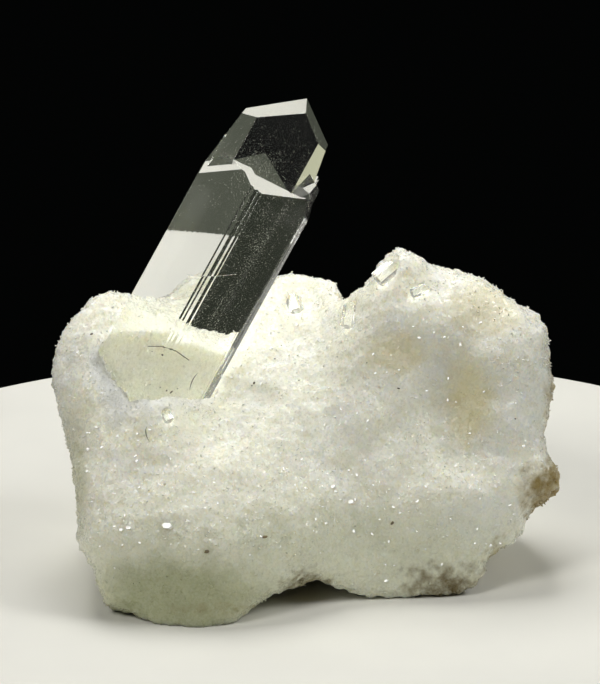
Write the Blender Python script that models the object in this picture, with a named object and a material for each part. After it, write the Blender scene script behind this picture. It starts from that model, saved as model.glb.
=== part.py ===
"""A clear gypsum crystal standing on its matrix of white, sugary gypsum.

Everything is drawn face-on in a slab frame, in millimetres: U to the right, V up the
face and W out of it. An empty then leans the slab back and sets it on the floor, in
metres, +Z up, with the origin on the floor under the middle of the piece. In the
empty's own axes a slab point is (U, -W, V).
"""

import math

import bmesh
import bpy
from mathutils import Matrix, Vector, noise
from mathutils.bvhtree import BVHTree

MM = 0.001

# The stance of the whole piece.
LEAN = math.radians(20.0)
FLOOR_UNDER_SLAB = 5.0
GAP = 0.3

# Gypsum's own angles and the big crystal's driving sizes.
PRISM_TILT = math.radians(33.3)
CRYSTAL_FOOT = (-21.6, 38.6, 2.0)
CRYSTAL_LEAN = math.radians(28.8)
MANTLE_HALF_WIDTH = 9.15
MANTLE_EDGE = 8.8
MANTLE_BLUNT = math.tan(PRISM_TILT) * (MANTLE_HALF_WIDTH - MANTLE_EDGE)
BACK_TILT = math.radians(10.0)
BACK_RIDGE = 7.0
MANTLE_TOP = 32.7
ROOT_DEPTH = 11.0
ROOT_BREAK = (-0.59, 0.0, -0.81)
CORE_LEFT = 8.5
CORE_RIGHT = 7.0
CORE_FRONT = 2.2
CORE_BEVEL_START = 4.7
CORE_BEVEL_TILT = math.radians(60.0)
CORE_BACK_PROUD = 0.06
CORE_RIGHT_INSET = 0.25
STRIA_START = -2.6
STRIA_WIDTHS = (0.55, 0.85, 0.45, 1.0, 0.65, 0.9)
LAYER_SPAN = (2.6, 15.1)
LAYER_SIDES = (-2.9, 3.4)
LAYER_START = -1.2
LAYER_WIDTHS = (0.6, 0.5, 0.9, 0.45, 0.8, 0.5)
LAYER_PROUD = 0.45

# The matrix's outline seen face-on, with the depth of its rim: (U, V, W).
RIM = (
    (-25.3, 49.9, -6.0),
    (-30.5, 51.5, -5.0),
    (-32.4, 48.2, -4.0),
    (-35.4, 45.0, -3.0),
    (-37.9, 41.6, -2.0),
    (-38.5, 37.1, -1.0),
    (-37.1, 31.8, 0.0),
    (-35.2, 27.0, 1.0),
    (-34.0, 21.1, 3.0),
    (-32.8, 15.9, 5.0),
    (-34.8, 10.9, 6.0),
    (-30.0, 9.8, 7.0),
    (-31.3, 4.4, 8.0),
    (-26.3, 2.4, 8.0),
    (-21.3, -0.7, 9.5),
    (-15.4, -5.6, 10.0),
    (-9.3, 2.8, 9.0),
    (-5.8, 4.8, 8.0),
    (-2.6, 5.5, 6.5),
    (1.0, 7.6, 5.0),
    (5.4, 5.5, 3.5),
    (10.4, 4.1, 2.5),
    (15.6, 3.8, 1.5),
    (23.0, 5.4, 0.5),
    (27.4, 6.5, -0.5),
    (26.3, 10.5, 0.0),
    (31.6, 12.2, -1.0),
    (33.7, 18.0, -2.0),
    (40.0, 19.8, -3.0),
    (36.1, 25.4, -4.0),
    (34.8, 29.9, -5.0),
    (37.5, 34.3, -5.0),
    (36.0, 38.6, -5.0),
    (36.6, 45.7, -5.0),
    (31.4, 48.3, -6.0),
    (27.2, 52.3, -7.0),
    (22.7, 53.0, -8.0),
    (18.4, 53.7, -8.0),
    (15.6, 57.1, -7.0),
    (13.4, 58.8, -7.5),
    (11.9, 56.7, -8.5),
    (6.2, 44.4, -11.5),
    (4.9, 52.0, -14.0),
    (0.0, 52.4, -17.0),
    (-3.9, 53.0, -16.0),
    (-5.6, 51.0, -16.0),
    (-8.2, 47.8, -15.0),
    (-11.5, 45.2, -14.0),
    (-15.0, 44.6, -13.0),
    (-19.0, 45.0, -12.0),
    (-22.5, 46.8, -9.0),
)
RIM_CENTRE = (0.8, 28.4)

# The front is a druse that slopes back from a crease, over a steep broken side.
CREASE_V = 14.5
CREASE_W = 16.5
DRUSE_SLOPE = -0.56
RIGHT_SETBACK = -9.5
RIGHT_STEEPENING = 0.43
RIGHT_STARTS = -10.0
RIGHT_FULL = 12.0
BROKEN_SLOPE = 0.14
CREASE_SOFTNESS = 1.4
# Lumps and hollows of the front: (U, V, half width, half height, rise).
FRONT_SWELLS = (
    (0.0, 54.0, 7.5, 12.0, -11.5),
    (0.0, 34.0, 9.0, 12.0, -2.5),
    (21.0, 31.5, 7.0, 9.0, -5.0),
    (13.0, 38.0, 4.0, 4.5, -1.5),
    (30.0, 34.0, 4.0, 9.0, 1.5),
    (22.0, 18.5, 8.0, 4.0, 1.5),
    (24.0, 53.0, 12.0, 5.0, -3.0),
    (31.0, 8.0, 7.0, 8.0, -2.0),
    (-24.5, 33.5, 6.5, 5.5, 4.2),
    (-13.0, 34.5, 4.5, 7.0, -5.0),
    (-31.0, 43.0, 5.0, 5.5, 2.8),
    (-36.5, 28.0, 3.0, 12.0, -3.0),
)
BACK_W = -34.0
BACK_SLOPE = 0.25
BACK_SWELLS = (
    (-20.0, 34.0, 11.0, 9.0, -2.5),
    (12.0, 40.0, 9.0, 8.0, -2.0),
    (24.0, 20.0, 9.0, 10.0, 3.0),
    (-4.0, 26.0, 7.0, 8.0, 2.5),
    (-30.0, 18.0, 7.0, 9.0, 3.5),
)
FRONT_SHOULDER = 4.6
BACK_SHOULDER = 3.0
RIM_SOFTENING = 2
# Relief on top of the form: (grain size, height on the front, height on the back).
# It grows from the front's height to the back's between these shares of the way round.
BACK_STARTS = (0.05, 0.5)
RELIEF = ((13.0, 0.6, 3.4), (6.5, 0.45, 1.6), (3.4, 0.2, 0.7))

RELIEF_OFFSETS = ((9.3, 1.5, 7.9), (0.0, 0.0, 0.0), (6.2, 0.9, 3.1))

# Small clear crystals: name, where on the face (U, V), lean right, lean out, length, half width.
SMALL_CRYSTALS = (
    ("crest_crystal", (12.2, 52.8), 50.0, -25.0, 4.2, 1.3),
    ("notch_crystal", (6.6, 46.4), 10.0, -35.0, 4.6, 1.1),
    ("lobe_crystal", (17.2, 50.0), 70.0, -30.0, 3.2, 0.8),
    ("saddle_crystal", (-1.6, 48.2), -15.0, -45.0, 3.6, 1.2),
    ("foot_crystal", (-20.4, 31.4), -30.0, -55.0, 3.0, 0.8),
)


def clear_scene():
    """Empties the scene and its leftovers."""
    for old in list(bpy.data.objects):
        bpy.data.objects.remove(old, do_unlink=True)


def material(name, colour, roughness, transmission=0.0):
    """A Principled BSDF with the part's own colour and finish."""
    made = bpy.data.materials.new(name)
    made.use_nodes = True
    shader = made.node_tree.nodes["Principled BSDF"]
    shader.inputs["Base Color"].default_value = (*colour, 1.0)
    shader.inputs["Roughness"].default_value = roughness
    shader.inputs["Transmission Weight"].default_value = transmission
    return made


def add_object(name, bm, finish, stand):
    """Links a finished bmesh, in millimetres, as an object in metres on the stand."""
    bmesh.ops.scale(bm, vec=Vector((MM, MM, MM)), verts=bm.verts)
    bmesh.ops.recalc_face_normals(bm, faces=bm.faces)
    mesh = bpy.data.meshes.new(name)
    bm.to_mesh(mesh)
    bm.free()
    obj = bpy.data.objects.new(name, mesh)
    bpy.context.scene.collection.objects.link(obj)
    obj.parent = stand
    if finish:
        mesh.materials.append(finish)
    return obj


# ---- the matrix ----


def rim_table():
    """The rim as (turn, reach, depth) about RIM_CENTRE, sorted by turn."""
    rows = []
    for u, v, w in RIM:
        du, dv = u - RIM_CENTRE[0], v - RIM_CENTRE[1]
        rows.append((math.atan2(dv, du), math.hypot(du, dv), w))
    rows.sort()
    first, last = rows[0], rows[-1]
    before = (last[0] - math.tau, *last[1:])
    after = (first[0] + math.tau, *first[1:])
    return [before, *rows, after]


def rim_at(turn, table):
    """How far the rim reaches from its centre in one direction, and its depth there."""
    for (t0, r0, w0), (t1, r1, w1) in zip(table, table[1:]):
        if t0 <= turn <= t1:
            share = (turn - t0) / (t1 - t0)
            return r0 + (r1 - r0) * share, w0 + (w1 - w0) * share
    raise ValueError(turn)


def swell(u, v, swells):
    """The summed rise of smooth lumps and hollows at a point of a face."""
    return sum(
        rise * math.exp(-(((u - u0) / half_u) ** 2) - ((v - v0) / half_v) ** 2)
        for u0, v0, half_u, half_v, rise in swells
    )


def smooth_share(value, start, end):
    """Eases from 0 at start to 1 at end."""
    share = min(1.0, max(0.0, (value - start) / (end - start)))
    return share * share * (3 - 2 * share)


def front_depth(u, v):
    """How far out the front stands: the lower of two planes that meet in a soft crease.

    The right side is set back and steeper than the left.
    """
    right = smooth_share(u, RIGHT_STARTS, RIGHT_FULL)
    crease = CREASE_W + right * RIGHT_SETBACK
    druse = crease + (DRUSE_SLOPE + right * RIGHT_STEEPENING) * (v - CREASE_V)
    broken = crease + BROKEN_SLOPE * (v - CREASE_V)
    soft = CREASE_SOFTNESS
    lower = -soft * math.log(math.exp(-druse / soft) + math.exp(-broken / soft))
    return lower + swell(u, v, FRONT_SWELLS)


def back_depth(u, v):
    """The broken back, nearly upright once the slab leans."""
    return BACK_W + BACK_SLOPE * v + swell(u, v, BACK_SWELLS)


def shoulder(polar, power):
    """Plan and depth shares of a rounded-box section: (0, 1) at a pole, (1, 0) at the rim."""
    across, along = math.sin(polar), math.cos(polar)
    size = (across**power + along**power) ** (1 / power)
    return across / size, along / size


def matrix_point(direction, table):
    """Where one point of a unit ball goes on the matrix."""
    turn = math.atan2(direction.z, direction.x)
    reach, depth = rim_at(turn, table)
    power = FRONT_SHOULDER if direction.y < 0 else BACK_SHOULDER
    across, along = shoulder(math.acos(min(1.0, abs(direction.y))), power)
    u = RIM_CENTRE[0] + reach * across * math.cos(turn)
    v = RIM_CENTRE[1] + reach * across * math.sin(turn)
    face = front_depth(u, v) if direction.y < 0 else back_depth(u, v)
    return Vector((u, -(depth + (face - depth) * along), v))


def relief_at(point, back_share):
    """The shift of one surface point by a smooth random field, stronger on the broken back."""
    shift = Vector()
    for size, front, back in RELIEF:
        height = front + (back - front) * back_share
        place = point / size + Vector((size, 3.0, 7.0))
        for axis, offset in enumerate(RELIEF_OFFSETS):
            shift[axis] += height * noise.noise(place + Vector(offset))
    return shift


def matrix_form():
    """The lump of white gypsum before anything is cut from it."""
    table = rim_table()
    bm = bmesh.new()
    bmesh.ops.create_icosphere(bm, subdivisions=5, radius=1.0)
    back_shares = []
    for vert in bm.verts:
        back_shares.append(smooth_share(vert.co.y, *BACK_STARTS))
        vert.co = matrix_point(vert.co.copy(), table)
    for _ in range(RIM_SOFTENING):
        bmesh.ops.smooth_vert(
            bm,
            verts=bm.verts,
            factor=0.5,
            use_axis_x=True,
            use_axis_y=True,
            use_axis_z=True,
        )
    for vert, back_share in zip(bm.verts, back_shares):
        vert.co += relief_at(vert.co, back_share)
    return bm


def build_matrix(bm, finish, stand, cutters):
    """The matrix, cut flat on the floor and hollowed for each crystal."""
    obj = add_object("matrix", bm, finish, stand)
    for cutter in cutters:
        cut = obj.modifiers.new(cutter.name, "BOOLEAN")
        cut.operation = "DIFFERENCE"
        cut.solver = "EXACT"
        cut.object = cutter
    return obj


def floor_cutter(stand):
    """A box whose top is the floor, standing upright in the world."""
    bm = bmesh.new()
    bmesh.ops.create_cube(bm, size=1.0)
    bmesh.ops.scale(bm, vec=Vector((200.0, 200.0, 60.0)), verts=bm.verts)
    upright = Matrix.Rotation(LEAN, 4, "X")
    under = Matrix.Translation((0.0, 0.0, FLOOR_UNDER_SLAB - 30.0))
    bm.transform(upright @ under)
    return hide(add_object("floor_cutter", bm, None, stand))


def hide(cutter):
    """Marks a helper that is not part of the object."""
    cutter.hide_render = True
    cutter.display_type = "WIRE"
    return cutter


# ---- crystals ----


def face(tilt, distance):
    """A face along the crystal, turned by tilt from straight ahead: its normal and distance."""
    return Vector((math.sin(tilt), -math.cos(tilt), 0.0)), distance


def cut_block(faces, size=80.0):
    """A closed block cut down to the space behind every face."""
    bm = bmesh.new()
    bmesh.ops.create_cube(bm, size=2 * size)
    for normal, distance in faces:
        cut_plane(bm, normal * distance, normal)
    return bm


def cut_plane(bm, point, normal):
    """Cuts away what lies beyond a plane and closes the cut."""
    everything = bm.verts[:] + bm.edges[:] + bm.faces[:]
    cut = bmesh.ops.bisect_plane(
        bm,
        geom=everything,
        dist=1e-5,
        plane_co=point,
        plane_no=normal,
        clear_outer=True,
    )
    rim = [e for e in cut["geom_cut"] if isinstance(e, bmesh.types.BMEdge)]
    bmesh.ops.edgenet_fill(bm, edges=rim)


def edge_distance(reach):
    """Distance from the axis of a prism face that comes to an edge this far to one side."""
    return reach * math.sin(PRISM_TILT)


def prism_faces(left, right, front, back, grow=0.0):
    """The six faces along a crystal that is rhombic in section, with its front and back blunted."""
    backwards = math.pi - PRISM_TILT
    return [
        face(-PRISM_TILT, edge_distance(left) + grow),
        face(PRISM_TILT, edge_distance(right) + grow),
        face(-backwards, edge_distance(left) + grow),
        face(backwards, edge_distance(right) + grow),
        face(0.0, front + grow),
        face(math.pi, back + grow),
    ]


def through(normal, point):
    """A face with this normal that passes through a point."""
    normal = Vector(normal).normalized()
    return normal, normal.dot(Vector(point))


def back_at(across):
    """Depth of the big crystal's broad back, which slopes away from its left edge."""
    return MANTLE_BLUNT + (across + MANTLE_EDGE) * math.tan(BACK_TILT)


def back_face(inset):
    """The broad back itself, moved in by this much."""
    normal = (-math.sin(BACK_TILT), math.cos(BACK_TILT), 0.0)
    return through(normal, (-MANTLE_EDGE, MANTLE_BLUNT - inset, 0.0))


def right_back_face(inset):
    """The narrow face at the right of the back, moved in by this much."""
    ridge = Vector((BACK_RIDGE, back_at(BACK_RIDGE), 0.0))
    run = Vector((ridge.y - MANTLE_BLUNT, MANTLE_EDGE - BACK_RIDGE, 0.0))
    normal = run.normalized()
    return through(normal, ridge - normal * inset)


def core_individual():
    """The inner crystal: broad and flat in front, with its gabled head clear of the mantle."""
    bevel, _ = face(CORE_BEVEL_TILT, 0.0)
    faces = [
        face(-PRISM_TILT, edge_distance(CORE_LEFT)),
        face(0.0, CORE_FRONT),
        through(bevel, (CORE_BEVEL_START, -CORE_FRONT, 0.0)),
        back_face(-CORE_BACK_PROUD),
        right_back_face(CORE_RIGHT_INSET),
        through((-0.479, -0.50, 0.722), (0.68, -CORE_FRONT, 43.3)),
        through((0.608, -0.254, 0.752), (CORE_BEVEL_START, -CORE_FRONT, 40.35)),
        through((-1.0, 0.0, 0.15), (-CORE_LEFT, 0.0, 32.0)),
        through((1.0, 0.0, 0.15), (CORE_RIGHT, 0.0, 34.2)),
        through((0.0, 0.0, -1.0), (0.0, 0.0, -ROOT_DEPTH + 1.0)),
        through(ROOT_BREAK, (-MANTLE_EDGE, 0.0, -4.5)),
    ]
    return cut_block(faces)


def striated_section(half_width, edge, start, widths):
    """A flattened section whose front ridge is broken into fine ridges, as (across, out) points."""
    slope = math.tan(PRISM_TILT)
    height = slope * half_width
    rise = [(start, height + slope * start)]
    for width in widths:
        across, out = rise[-1]
        end = across + width
        drop = height - slope * abs(end) if end > 0 else height + slope * end
        base = min(drop, height - slope * 1.2)
        crest = (across + end + (base - out) / slope) / 2
        rise += [(crest, out + slope * (crest - across)), (end, base)]
    blunt = slope * (half_width - edge)
    front = [(-edge, -blunt), (-edge, blunt), *rise, (edge, blunt), (edge, -blunt)]
    return [*front, (BACK_RIDGE, -back_at(BACK_RIDGE))]


def extruded(section, bottom, top):
    """A prism along Z from a section of (across, out) points."""
    bm = bmesh.new()
    corners = [bm.verts.new((a, -w, bottom)) for a, w in section]
    ground = bm.faces.new(corners)
    grown = bmesh.ops.extrude_face_region(bm, geom=[ground])
    lifted = [v for v in grown["geom"] if isinstance(v, bmesh.types.BMVert)]
    bmesh.ops.translate(bm, vec=Vector((0.0, 0.0, top - bottom)), verts=lifted)
    bmesh.ops.recalc_face_normals(bm, faces=bm.faces)
    return bm


def mantle_individual():
    """The stouter growth round the foot, striated down the front, with a ledge for a top."""
    section = striated_section(MANTLE_HALF_WIDTH, MANTLE_EDGE, STRIA_START, STRIA_WIDTHS)
    bm = extruded(section, -ROOT_DEPTH, MANTLE_TOP + 12.0)
    cut_plane(bm, Vector((-MANTLE_EDGE, 0.0, -5.0)), Vector(ROOT_BREAK))
    ledge = Vector((-0.25, -0.69, 1.0)).normalized()
    cut_plane(bm, Vector((-4.4, -1.8, MANTLE_TOP)), ledge)
    right_ledge = Vector((0.17, -0.89, 1.0)).normalized()
    cut_plane(bm, Vector((2.4, -1.8, MANTLE_TOP)), right_ledge)
    left_bevel = Vector((-0.61, -0.77, 0.16)).normalized()
    cut_plane(bm, Vector((-8.55, -0.1, 29.6)), left_bevel)
    right_bevel = Vector((0.90, -0.45, 0.42)).normalized()
    cut_plane(bm, Vector((7.3, 0.0, 33.0)), right_bevel)
    return bm


def front_individual():
    """The ridge of the mantle that climbs the core's face and ends in a blunt gable."""
    slim = MANTLE_HALF_WIDTH - 0.35
    section = striated_section(slim, slim - 0.35, STRIA_START + 0.15, STRIA_WIDTHS)
    bm = extruded(section, -ROOT_DEPTH + 0.6, MANTLE_TOP + 12.0)
    cut_plane(bm, Vector((-MANTLE_EDGE, 0.0, -4.0)), Vector(ROOT_BREAK))
    cut_plane(bm, Vector((0.0, -0.4, 0.0)), Vector((0.0, 1.0, 0.0)))
    cut_plane(bm, Vector((-1.5, -2.2, 35.4)), Vector((-0.55, -1.85, 0.64)).normalized())
    cut_plane(bm, Vector((-1.5, -2.2, 35.4)), Vector((0.38, -1.70, 0.64)).normalized())
    return bm


def layer_individual():
    """A late thin layer low on the ridge, whose own fine ridges lie further to the right."""
    stout = MANTLE_HALF_WIDTH + LAYER_PROUD
    section = striated_section(stout, MANTLE_EDGE, LAYER_START, LAYER_WIDTHS)
    low, high = LAYER_SPAN
    left, right = LAYER_SIDES
    bm = extruded(section, low - 5.0, high + 5.0)
    cut_plane(bm, Vector((left, 0.0, 0.0)), Vector((-1.0, 0.0, 0.0)))
    cut_plane(bm, Vector((right, 0.0, 0.0)), Vector((1.0, 0.0, 0.0)))
    cut_plane(bm, Vector((0.0, -0.6, 0.0)), Vector((0.0, 1.0, 0.0)))
    level = Vector((-math.sin(CRYSTAL_LEAN), -0.2, math.cos(CRYSTAL_LEAN))).normalized()
    cut_plane(bm, Vector((-0.8, -4.5, high)), level)
    cut_plane(bm, Vector((0.0, -4.5, low)), Vector((0.2, -0.5, -1.0)).normalized())
    return bm


def crystal_place(foot, lean_right, lean_out=0.0):
    """Carries a crystal from its own axes, Z along it, to the slab."""
    u, v, w = foot
    turned = Matrix.Rotation(lean_right, 4, "Y") @ Matrix.Rotation(lean_out, 4, "X")
    return Matrix.Translation((u, -w, v)) @ turned


def build_selenite(finish, stand):
    """The big clear crystal: four parallel individuals grown into one."""
    place = crystal_place(CRYSTAL_FOOT, CRYSTAL_LEAN)
    parts = []
    for name, make in (
        ("selenite_crystal", mantle_individual),
        ("core_individual", core_individual),
        ("front_individual", front_individual),
        ("layer_individual", layer_individual),
    ):
        bm = make()
        bm.transform(place)
        parts.append(add_object(name, bm, finish, stand))
    crystal, *grown_in = parts
    for other in grown_in:
        hide(other)
        joint = crystal.modifiers.new(other.name, "BOOLEAN")
        joint.operation = "UNION"
        joint.solver = "EXACT"
        joint.object = other
    return crystal


def selenite_socket(stand):
    """The space that the big crystal's root takes in the matrix, a little loose all round."""
    reach = edge_distance(MANTLE_HALF_WIDTH) + GAP
    faces = [
        face(-PRISM_TILT, reach),
        face(PRISM_TILT, reach),
        face(0.0, MANTLE_HALF_WIDTH * math.tan(PRISM_TILT) - 0.7 + GAP),
        back_face(-CORE_BACK_PROUD - GAP),
        right_back_face(-GAP),
        through((-1.0, 0.0, 0.0), (-MANTLE_EDGE - GAP, 0.0, 0.0)),
        through((1.0, 0.0, 0.0), (MANTLE_EDGE + GAP, 0.0, 0.0)),
        through((0.0, 0.0, -1.0), (0.0, 0.0, -ROOT_DEPTH - GAP)),
        through(ROOT_BREAK, (-MANTLE_EDGE - GAP, 0.0, -5.0 - GAP)),
    ]
    bm = cut_block(faces)
    bm.transform(crystal_place(CRYSTAL_FOOT, CRYSTAL_LEAN))
    return hide(add_object("selenite_socket", bm, None, stand))


def small_crystal(length, half_width, grow=0.0):
    """A stubby clear prism with a gabled head, buried to its middle."""
    blunt = 0.45 * half_width
    faces = prism_faces(half_width, half_width, blunt, blunt, grow)
    head = Vector((0.0, 0.0, length * 0.5 + grow))
    faces += [
        through((-0.62, -0.2, 0.76), head),
        through((0.62, -0.2, 0.76), head),
        through((0.0, 0.0, -1.0), (0.0, 0.0, -length * 0.5 - grow)),
    ]
    return cut_block(faces, 20.0)


def build_small_crystals(surface, finish, stand):
    """Seats each small crystal on the matrix, and makes the sockets they sit in."""
    sockets = []
    for name, (u, v), right, out, length, half_width in SMALL_CRYSTALS:
        seat = surface.ray_cast(Vector((u, -80.0, v)), Vector((0.0, 1.0, 0.0)))[0]
        place = crystal_place((u, v, -seat.y), math.radians(right), math.radians(out))
        for kind, grow in ((name, 0.0), (name + "_socket", GAP)):
            bm = small_crystal(length, half_width, grow)
            bm.transform(place)
            obj = add_object(kind, bm, finish, stand)
            if grow:
                sockets.append(hide(obj))
    return sockets


def centre_on_floor(stand):
    """Moves the stand so that the origin is under the middle of the piece."""
    bpy.context.view_layer.update()
    graph = bpy.context.evaluated_depsgraph_get()
    shown = [o for o in stand.children if not o.hide_render]
    points = []
    for obj in shown:
        seen = obj.evaluated_get(graph)
        points += [seen.matrix_world @ v.co for v in seen.data.vertices]
    for axis in (0, 1):
        values = [p[axis] for p in points]
        stand.location[axis] -= (min(values) + max(values)) / 2


def build():
    """Builds the whole specimen."""
    clear_scene()
    stand = bpy.data.objects.new("stand", None)
    bpy.context.scene.collection.objects.link(stand)
    stand.rotation_euler = (-LEAN, 0.0, 0.0)
    stand.location = (0.0, 0.0, -FLOOR_UNDER_SLAB * MM)
    white = material("white_gypsum", (0.83, 0.82, 0.75), 0.6)
    clear = material("clear_gypsum", (0.93, 0.95, 0.91), 0.05, 1.0)
    form = matrix_form()
    sockets = build_small_crystals(BVHTree.FromBMesh(form), clear, stand)
    build_selenite(clear, stand)
    cutters = [floor_cutter(stand), selenite_socket(stand), *sockets]
    build_matrix(form, white, stand, cutters)
    centre_on_floor(stand)


build()
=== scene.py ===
"""Dresses a gypsum specimen: one clear selenite crystal on a white, sugary lump of its matrix."""

import sys
import logging
import math
import random
from dataclasses import dataclass
from enum import Enum

import bmesh
import bpy
import numpy as np
from bpy.types import Material, Mesh, Node, NodeOutputs, NodeSocket, NodeTree, Object
from mathutils import Matrix, Vector, noise
from mathutils.bvhtree import BVHTree


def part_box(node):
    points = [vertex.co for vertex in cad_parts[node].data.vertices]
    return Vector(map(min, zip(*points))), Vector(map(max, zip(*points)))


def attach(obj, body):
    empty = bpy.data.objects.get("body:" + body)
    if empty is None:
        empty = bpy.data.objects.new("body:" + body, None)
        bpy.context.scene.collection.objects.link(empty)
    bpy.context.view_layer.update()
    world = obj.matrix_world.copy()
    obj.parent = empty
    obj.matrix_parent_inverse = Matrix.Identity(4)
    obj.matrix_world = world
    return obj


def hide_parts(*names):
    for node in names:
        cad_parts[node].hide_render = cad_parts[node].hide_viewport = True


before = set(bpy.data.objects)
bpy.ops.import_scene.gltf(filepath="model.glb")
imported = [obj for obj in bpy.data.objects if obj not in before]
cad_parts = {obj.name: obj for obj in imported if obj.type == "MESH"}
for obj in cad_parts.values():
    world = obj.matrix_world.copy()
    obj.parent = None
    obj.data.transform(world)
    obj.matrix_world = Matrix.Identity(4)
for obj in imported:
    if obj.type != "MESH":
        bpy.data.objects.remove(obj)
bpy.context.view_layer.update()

LOG = logging.getLogger("gypsum")
MM = 0.001
Colour = tuple[float, float, float]
Triple = tuple[float, float, float]
Pair = tuple[float, float]
Line = tuple[Pair, ...]
Rows = tuple[tuple[float, ...], ...]
FRONT_LAMP: Triple = (-0.36, -0.38, 0.56)


class Texture(Enum):
    """The noise patterns that the finishes use, by their node."""

    CLOUD = "ShaderNodeTexNoise"
    CELLS = "ShaderNodeTexVoronoi"


class Slot(Enum):
    """The record's material slots."""

    ROCK = "white_gypsum"
    CLEAR = "clear_gypsum"


@dataclass(frozen=True)
class LeaningFace:
    """The front of the specimen leans back; places on it are in mm across, up and out of it."""

    lean: float = math.radians(20.0)
    shift: Triple = (-0.0783, -12.9208, -5.0)
    well_out: float = 90.0

    def matrix(self) -> Matrix:
        """Returns the turn and shift from (across, -out, up) to the object's frame, in metres."""
        return Matrix.Translation(Vector(self.shift) * MM) @ Matrix.Rotation(-self.lean, 4, "X")

    def point(self, across: float, up: float, out: float = 0.0) -> Vector:
        """Returns the point at these mm across, up and out, in metres in the object's frame."""
        return self.matrix() @ (Vector((across, -out, up)) * MM)

    def outward(self) -> Vector:
        """Returns the direction straight out of the face."""
        return (self.matrix().to_3x3() @ Vector((0.0, -1.0, 0.0))).normalized()

    def landing(self, across: float, up: float, surface: BVHTree) -> tuple[Vector, Vector] | None:
        """Returns where a line into the face at this place meets a surface, and its normal."""
        place, normal, *_ = surface.ray_cast(self.point(across, up, self.well_out), -self.outward())
        return None if place is None else (place, normal)


@dataclass(frozen=True)
class CrystalAxes:
    """The main crystal's own directions: mm across it, along it and out of it, from its foot."""

    face: LeaningFace = LeaningFace()
    foot: Triple = (-21.6, 38.6, 2.0)
    lean: float = math.radians(28.8)

    def matrix(self) -> Matrix:
        """Returns the turn and shift from (across, -out, along) to the object's frame."""
        across, up, out = self.foot
        seat = Matrix.Translation(Vector((across, -out, up)) * MM)
        return self.face.matrix() @ seat @ Matrix.Rotation(self.lean, 4, "Y")


class Bench:
    """A node tree being wired up: it adds nodes, sets their values and joins them."""

    def __init__(self, tree: NodeTree) -> None:
        """Takes the tree to wire."""
        self.tree = tree

    def fill(self, node: Node, inputs: dict) -> Node:
        """Joins or sets a node's inputs.

        Args:
            node: the node.
            inputs: what goes into its sockets, by their name or number. Another node's output is
                joined, a colour is set as opaque, and anything else is set as it is.

        Returns:
            The node.
        """
        for key, value in inputs.items():
            if isinstance(value, NodeSocket):
                self.tree.links.new(value, node.inputs[key])
            else:
                opaque = node.inputs[key].type == "RGBA"
                node.inputs[key].default_value = (*value, 1.0) if opaque else value
        return node

    def add(self, kind: str, inputs: dict | None = None, **settings: object) -> Node:
        """Adds a node.

        Args:
            kind: the node's type.
            inputs: what goes into its sockets.
            settings: the node's own options.

        Returns:
            The node.
        """
        node = self.tree.nodes.new(kind)
        for name, value in settings.items():
            setattr(node, name, value)
        return self.fill(node, inputs or {})

    def sum(self, operation: str, *terms: object) -> NodeSocket:
        """Returns the result of a new Math node, whose operation and terms are given."""
        return self.add("ShaderNodeMath", dict(enumerate(terms)), operation=operation).outputs[0]

    def arrow(self, operation: str, *terms: object) -> NodeSocket:
        """Returns the result of a new Vector Math node: a vector, or a number for LENGTH."""
        node = self.add("ShaderNodeVectorMath", dict(enumerate(terms)), operation=operation)
        return node.outputs["Value" if operation == "LENGTH" else "Vector"]

    def ramp(
        self, value: object, low: float, high: float, start: float = 0.0, end: float = 1.0
    ) -> NodeSocket:
        """Returns a smooth step of a value, from start at low to end at high."""
        inputs = {"Value": value, "From Min": low, "From Max": high, "To Min": start, "To Max": end}
        return self.add("ShaderNodeMapRange", inputs, interpolation_type="SMOOTHSTEP").outputs[0]

    def mix(self, share: NodeSocket, first: object, second: object) -> NodeSocket:
        """Returns the first colour with this share of the second mixed into it."""
        inputs = {0: share, 6: first, 7: second}
        return self.add("ShaderNodeMix", inputs, data_type="RGBA", clamp_factor=True).outputs[2]

    def pattern(self, kind: Texture, where: NodeSocket, size: float, **more: float) -> Node:
        """Returns a new noise pattern, whose spots are about this many mm wide."""
        return self.add(kind.value, {"Vector": where, "Scale": 1.0 / (size * MM), **more})


def new_group(kind: str, name: str, inputs: dict, outputs: dict) -> tuple[Bench, NodeOutputs, Node]:
    """Starts a node group.

    Args:
        kind: what sort of tree it is.
        name: its name.
        inputs: its inputs' names, with their socket types.
        outputs: its outputs' names, with their socket types.

    Returns:
        The bench, the sockets that bring the inputs in, and the node that takes the outputs.
    """
    tree = bpy.data.node_groups.new(name, kind)
    for way, sockets in (("INPUT", inputs), ("OUTPUT", outputs)):
        for label, socket in sockets.items():
            tree.interface.new_socket(label, in_out=way, socket_type=socket)
    bench = Bench(tree)
    return bench, bench.add("NodeGroupInput").outputs, bench.add("NodeGroupOutput")


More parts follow.
